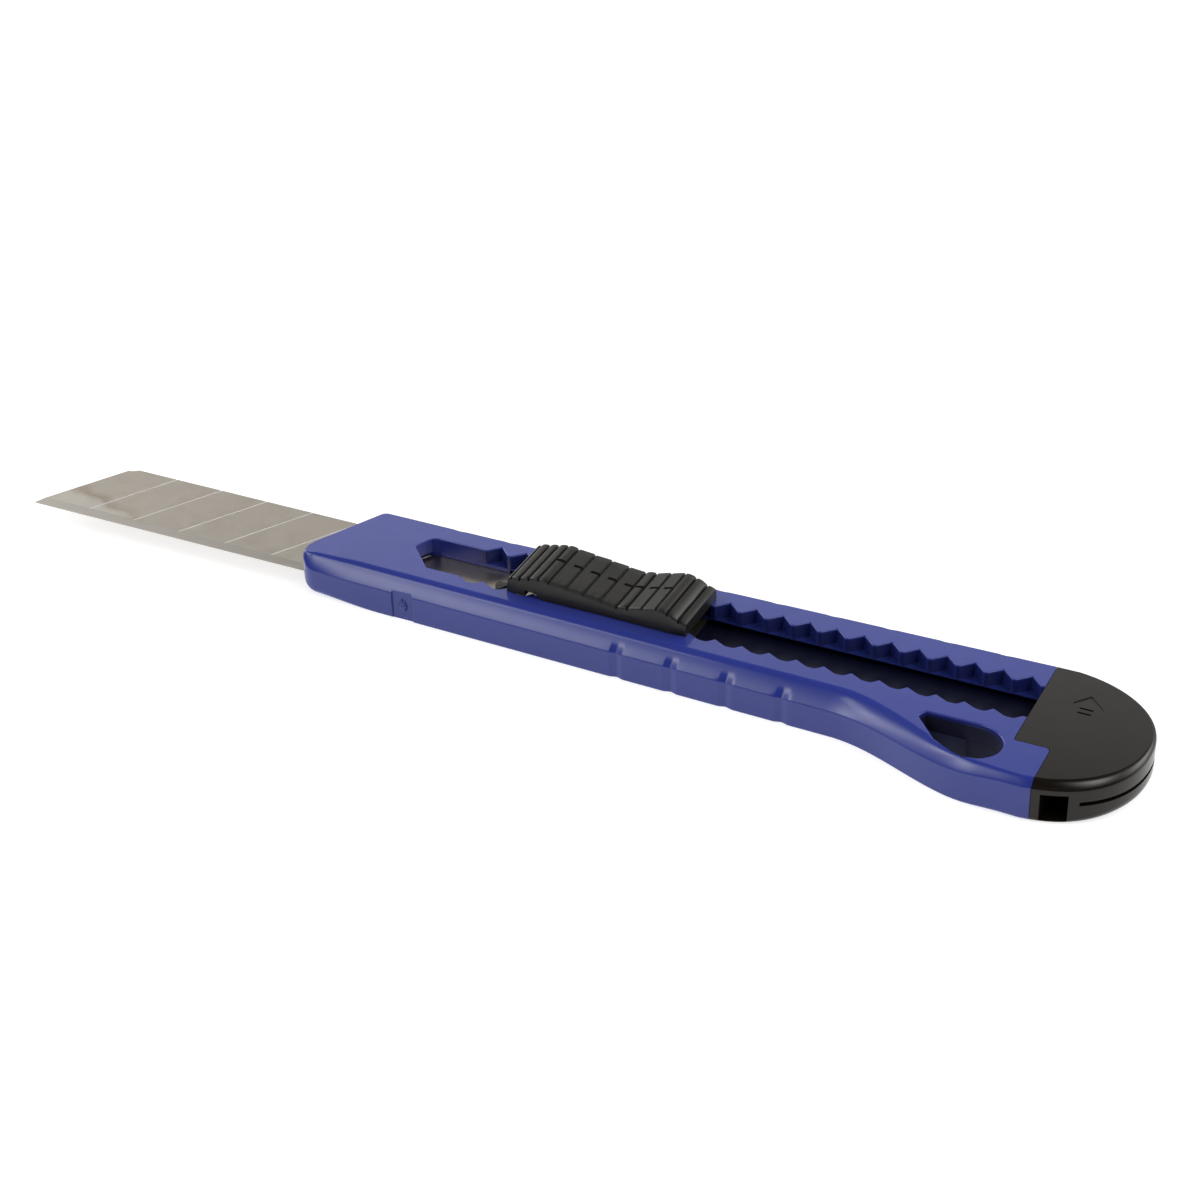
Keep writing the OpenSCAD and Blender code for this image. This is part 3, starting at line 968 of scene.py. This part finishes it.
def floor():
    size = 3.0
    mesh = bpy.data.meshes.new("floor")
    corners = [(-size, -size, 0), (size, -size, 0), (size, size, 0), (-size, size, 0)]
    mesh.from_pydata(corners, [], [(0, 1, 2, 3)])
    obj = bpy.data.objects.new("floor", mesh)
    bpy.context.scene.collection.objects.link(obj)
    n = Nodes("floor_white")
    n.shader.inputs["Roughness"].default_value = 0.9
    n.shader.inputs["Specular IOR Level"].default_value = 0.1
    n.shader.inputs["Emission Color"].default_value = (1, 1, 1, 1)
    n.shader.inputs["Emission Strength"].default_value = 0.72
    tone = n.mixed(n.ranged(n.noise(3.0), 0.0, 1.0), (0.46, 0.46, 0.46), (0.44, 0.44, 0.44))
    n.link(tone, n.shader.inputs["Base Color"])
    mesh.materials.append(n.material)


def softbox(name, direction, distance, size, power):
    """Square area light that faces the middle of the knife from a direction."""
    light = bpy.data.lights.new(name, "AREA")
    light.shape = "RECTANGLE"
    light.size, light.size_y = size
    light.energy = power
    obj = bpy.data.objects.new(name, light)
    aim = Vector(direction).normalized()
    obj.location = aim * distance
    obj.rotation_euler = aim.to_track_quat("Z", "Y").to_euler()
    bpy.context.scene.collection.objects.link(obj)


def studio():
    """White backdrop behind the knife, up to about 35 degrees, and five soft lights placed for
    the photo's camera. The rest is dark."""
    world = bpy.data.worlds.new("studio")
    bpy.context.scene.world = world
    world.use_nodes = True
    tree = world.node_tree
    place = tree.nodes.new("ShaderNodeTexCoord").outputs["Generated"]

    def calc(operation, *values):
        node = tree.nodes.new("ShaderNodeMath")
        node.operation = operation
        for socket, value in zip(node.inputs, values):
            if isinstance(value, bpy.types.NodeSocket):
                tree.links.new(value, socket)
            else:
                socket.default_value = value
        return node.outputs["Value"]

    def toward(direction):
        node = tree.nodes.new("ShaderNodeVectorMath")
        node.operation = "DOT_PRODUCT"
        node.inputs[1].default_value = direction
        tree.links.new(place, node.inputs[0])
        return node.outputs["Value"]

    def ramp(source, stops):
        node = tree.nodes.new("ShaderNodeValToRGB")
        tree.links.new(source, node.inputs["Fac"])
        elements = node.color_ramp.elements
        while len(elements) < len(stops):
            elements.new(0.5)
        for element, (at, value) in zip(elements, stops):
            element.position = at
            element.color = (value, value, value, 1)
        return calc("MULTIPLY", node.outputs["Color"], 1.0)

    def soft(direction, across, width, height, strength):
        """A lobe of light with soft edges, elongated along one direction."""
        centre = Vector(direction).normalized()
        along = Vector(across)
        along = (along - centre * along.dot(centre)).normalized()
        side = centre.cross(along)
        a = calc("DIVIDE", toward(along), width)
        b = calc("DIVIDE", toward(side), height)
        spread = calc("ADD", calc("MULTIPLY", a, a), calc("MULTIPLY", b, b))
        shape = calc("EXPONENT", calc("MULTIPLY", spread, -1.0))
        ahead = calc("GREATER_THAN", toward(centre), 0.0)
        return calc("MULTIPLY", calc("MULTIPLY", shape, ahead), strength)

    backdrop = [(0.0, 0.20), (0.32, 0.25), (0.45, 1.0), (0.52, 1.0)]
    fading = [(0.56, 0.80), (0.61, 0.20), (0.70, 0.03), (1.0, 0.03)]
    height = ramp(toward((0, 0, 1)), backdrop + fading)
    behind = calc("MULTIPLY_ADD", toward((-0.44, 0.90, 0)), 0.5, 0.5)
    around = ramp(behind, [(0.0, 0.12), (0.25, 0.12), (0.60, 1.0), (1.0, 1.0)])
    light = calc("MULTIPLY", calc("MULTIPLY", height, around), 1.25)
    for lobe in (
        soft((-0.50, -0.52, 0.692), (1, 0, 0), 0.18, 0.30, 4.8),
        soft((-0.69, -0.27, 0.67), (0, 0, 1), 0.12, 0.13, 3.8),
        soft((0.56, -0.12, 0.80), (0, 1, 0), 0.26, 0.22, 6.5),
        soft((0.68, 0.58, 0.45), (0, 0, 1), 0.32, 0.34, 4.5),
        soft((-0.86, 0.28, 0.43), (0, 1, 0), 0.28, 0.26, 4.5),
    ):
        light = calc("ADD", light, lobe)
    tree.links.new(light, tree.nodes["Background"].inputs["Strength"])
    tree.nodes["Background"].inputs["Color"].default_value = (1, 1, 1, 1)


def camera():
    data = bpy.data.cameras.new("camera")
    data.lens = 82.48
    data.sensor_width = 36
    data.shift_x = -0.00445
    data.shift_y = 0.0057
    data.clip_start = 0.01
    obj = bpy.data.objects.new("camera", data)
    heading, tilt, roll = radians(26.19), radians(32.86), radians(-1.0)
    turn = Matrix.Rotation(heading, 4, "Z") @ Matrix.Rotation(pi / 2 - tilt, 4, "X")
    place = Matrix.Translation((0.18716, -0.36040, 0.26825))
    obj.matrix_world = place @ turn @ Matrix.Rotation(roll, 4, "Z")
    bpy.context.scene.collection.objects.link(obj)
    bpy.context.scene.camera = obj


floor()
studio()
softbox("overhead", (-0.47, -0.23, 0.85), 0.9, (0.12, 0.30), 0.25)
camera()
bpy.context.scene.view_settings.view_transform = "Standard"
